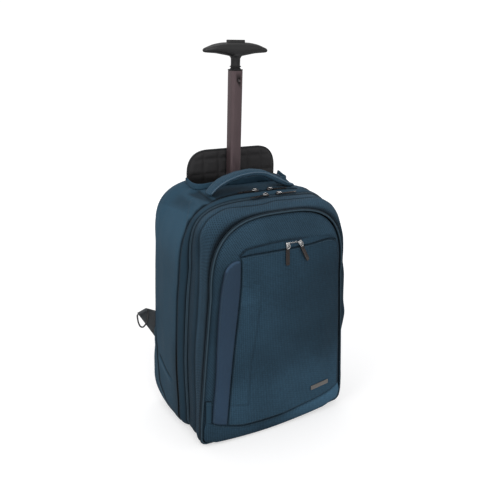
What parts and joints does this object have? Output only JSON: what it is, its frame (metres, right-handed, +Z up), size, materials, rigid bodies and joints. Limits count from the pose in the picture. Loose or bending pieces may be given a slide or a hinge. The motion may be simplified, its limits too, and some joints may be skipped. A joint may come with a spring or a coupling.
{
  "type": "wheeled backpack",
  "caption": "Soft fabric backpack on wheels with a telescopic pole and T grip, zipped compartments, padded carry handle and a quilted pad behind the pole.",
  "frame": {"origin": "middle of the object's footprint, on the floor", "axes": "+Z up, the front pocket faces -Y, +X to the right seen from the front"},
  "size_m": [0.4062, 0.2536, 0.74],
  "materials": {
    "shell_fabric": "petrol blue plain weave",
    "twill_fabric": "petrol blue dotted twill",
    "smooth_trim": "smooth coated, navy blue",
    "piping_cord": "tight blue cover over cord",
    "zip_tape": "dark blue tape and coil",
    "black_mesh": "quilted spacer mesh",
    "black_webbing": "ribbed webbing",
    "black_plastic": "fine grain",
    "hub_plastic": "smooth",
    "pole_anodised": "brown anodised, drawn",
    "zip_metal": "gunmetal plated",
    "plate_metal": "pewter, satin",
    "axle_steel": "plain",
    "wheel_rubber": "matt"
  },
  "bodies": {
    "bag": {"rear_shell": "shell_fabric", "zip_a": "zip_tape", "mid_gusset": "shell_fabric", "zip_b": "zip_tape", "front_gusset": "twill_fabric", "front_piping": "piping_cord", "front_panel": "twill_fabric", "pocket_panel": "twill_fabric", "pocket_trim": "smooth_trim", "pocket_zip": "twill_fabric", "kick_panel": "twill_fabric", "label_plate": "plate_metal", "back_pad": "black_mesh", "back_panel": "black_mesh", "strap_left": "black_mesh", "strap_right": "black_mesh", "stow_pocket": "shell_fabric", "well_rim": "shell_fabric", "carry_handle": "twill_fabric", "pole_outer": "black_plastic", "pull_a_left": "zip_metal", "pull_a_right": "zip_metal", "pull_b_left": "zip_metal", "pull_b_right": "zip_metal", "pull_pocket_left": "zip_metal", "pull_pocket_right": "zip_metal", "wing_left": "black_webbing", "wing_right": "black_webbing", "d_ring_left": "black_plastic", "d_ring_right": "black_plastic", "housing_left": "black_plastic", "housing_right": "black_plastic", "axle_left": "axle_steel", "axle_right": "axle_steel", "foot_left": "black_plastic", "foot_right": "black_plastic"},
    "handle": {"pole_inner": "pole_anodised", "pole_collar": "black_plastic", "grip": "black_plastic"},
    "button": {"grip_button": "black_plastic"},
    "wheel_left": {"tyre_left": "wheel_rubber", "hub_left": "hub_plastic"},
    "wheel_right": {"tyre_right": "wheel_rubber", "hub_right": "hub_plastic"}
  },
  "joints": [
    {"name": "handle_slide", "type": "slide", "parent": "bag", "child": "handle", "axis": [0, -0.032, 0.9995], "range_m": [-0.195, 0]},
    {"name": "grip_button_press", "type": "slide", "parent": "handle", "child": "button", "axis": [0, -0.032, 0.9995], "range_m": [-0.0028, 0], "stiffness_N_per_m": 300, "springref_m": 0.0015},
    {"name": "wheel_left_spin", "type": "hinge", "parent": "bag", "child": "wheel_left", "pos_m": [-0.118, 0.08887, 0.033], "axis": [1, 0, 0], "continuous": true},
    {"name": "wheel_right_spin", "type": "hinge", "parent": "bag", "child": "wheel_right", "pos_m": [0.118, 0.08887, 0.033], "axis": [1, 0, 0], "continuous": true}
  ]
}
